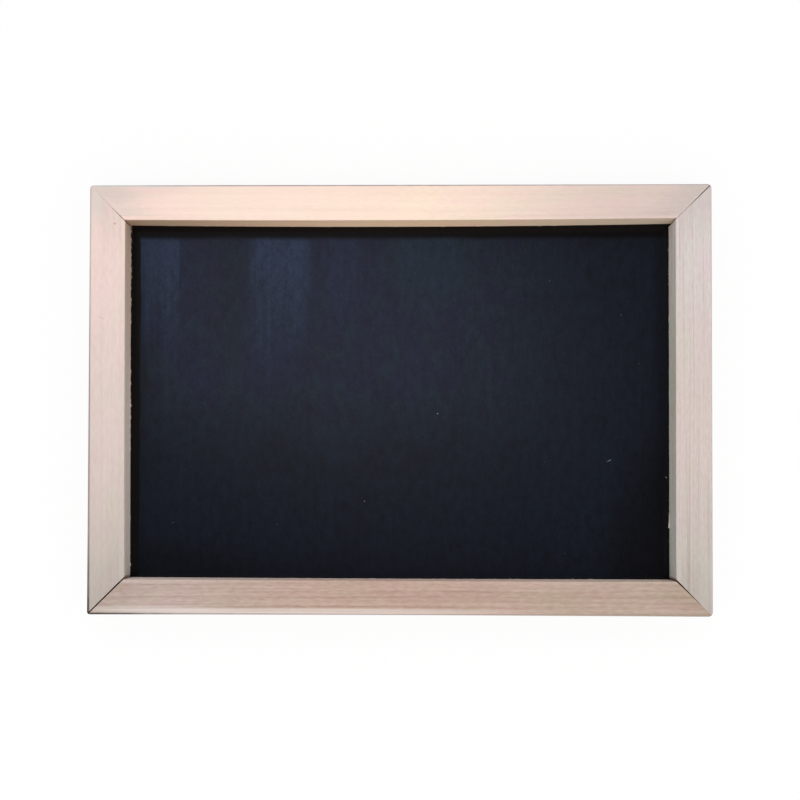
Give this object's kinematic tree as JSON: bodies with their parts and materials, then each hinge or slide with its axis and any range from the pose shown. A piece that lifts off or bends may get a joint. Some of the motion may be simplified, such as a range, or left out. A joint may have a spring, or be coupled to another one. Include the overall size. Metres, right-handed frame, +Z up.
{
  "type": "slate writing board",
  "caption": "Rectangular writing board: a black-coated panel held behind the lip of a mitred softwood frame, which lies on its flat back to be written on.",
  "frame": {"origin": "middle of the flat back that the board lies on", "axes": "+X along the board's width, to the right when the writing face is seen; +Y along its height, towards the top rail; +Z up, out of the writing face"},
  "size_m": [0.326, 0.226, 0.019],
  "materials": {
    "pale_wood": "bare sanded softwood, pale pinkish beige with fine lengthwise grain",
    "brown_wood": "bare sanded softwood, browner, with lengthwise streaks",
    "writing_coat": "hardboard with a satin black writing coat on its face",
    "fastener_steel": "plain steel strip"
  },
  "bodies": {
    "root": {"top_rail": "pale_wood", "left_stile": "pale_wood", "right_stile": "pale_wood", "bottom_rail": "brown_wood", "writing_panel": "writing_coat", "v_nails_top_left": "fastener_steel", "v_nails_top_right": "fastener_steel", "v_nails_bottom_left": "fastener_steel", "v_nails_bottom_right": "fastener_steel", "panel_points_top": "fastener_steel", "panel_points_bottom": "fastener_steel", "panel_points_left": "fastener_steel", "panel_points_right": "fastener_steel"}
  },
  "joints": []
}
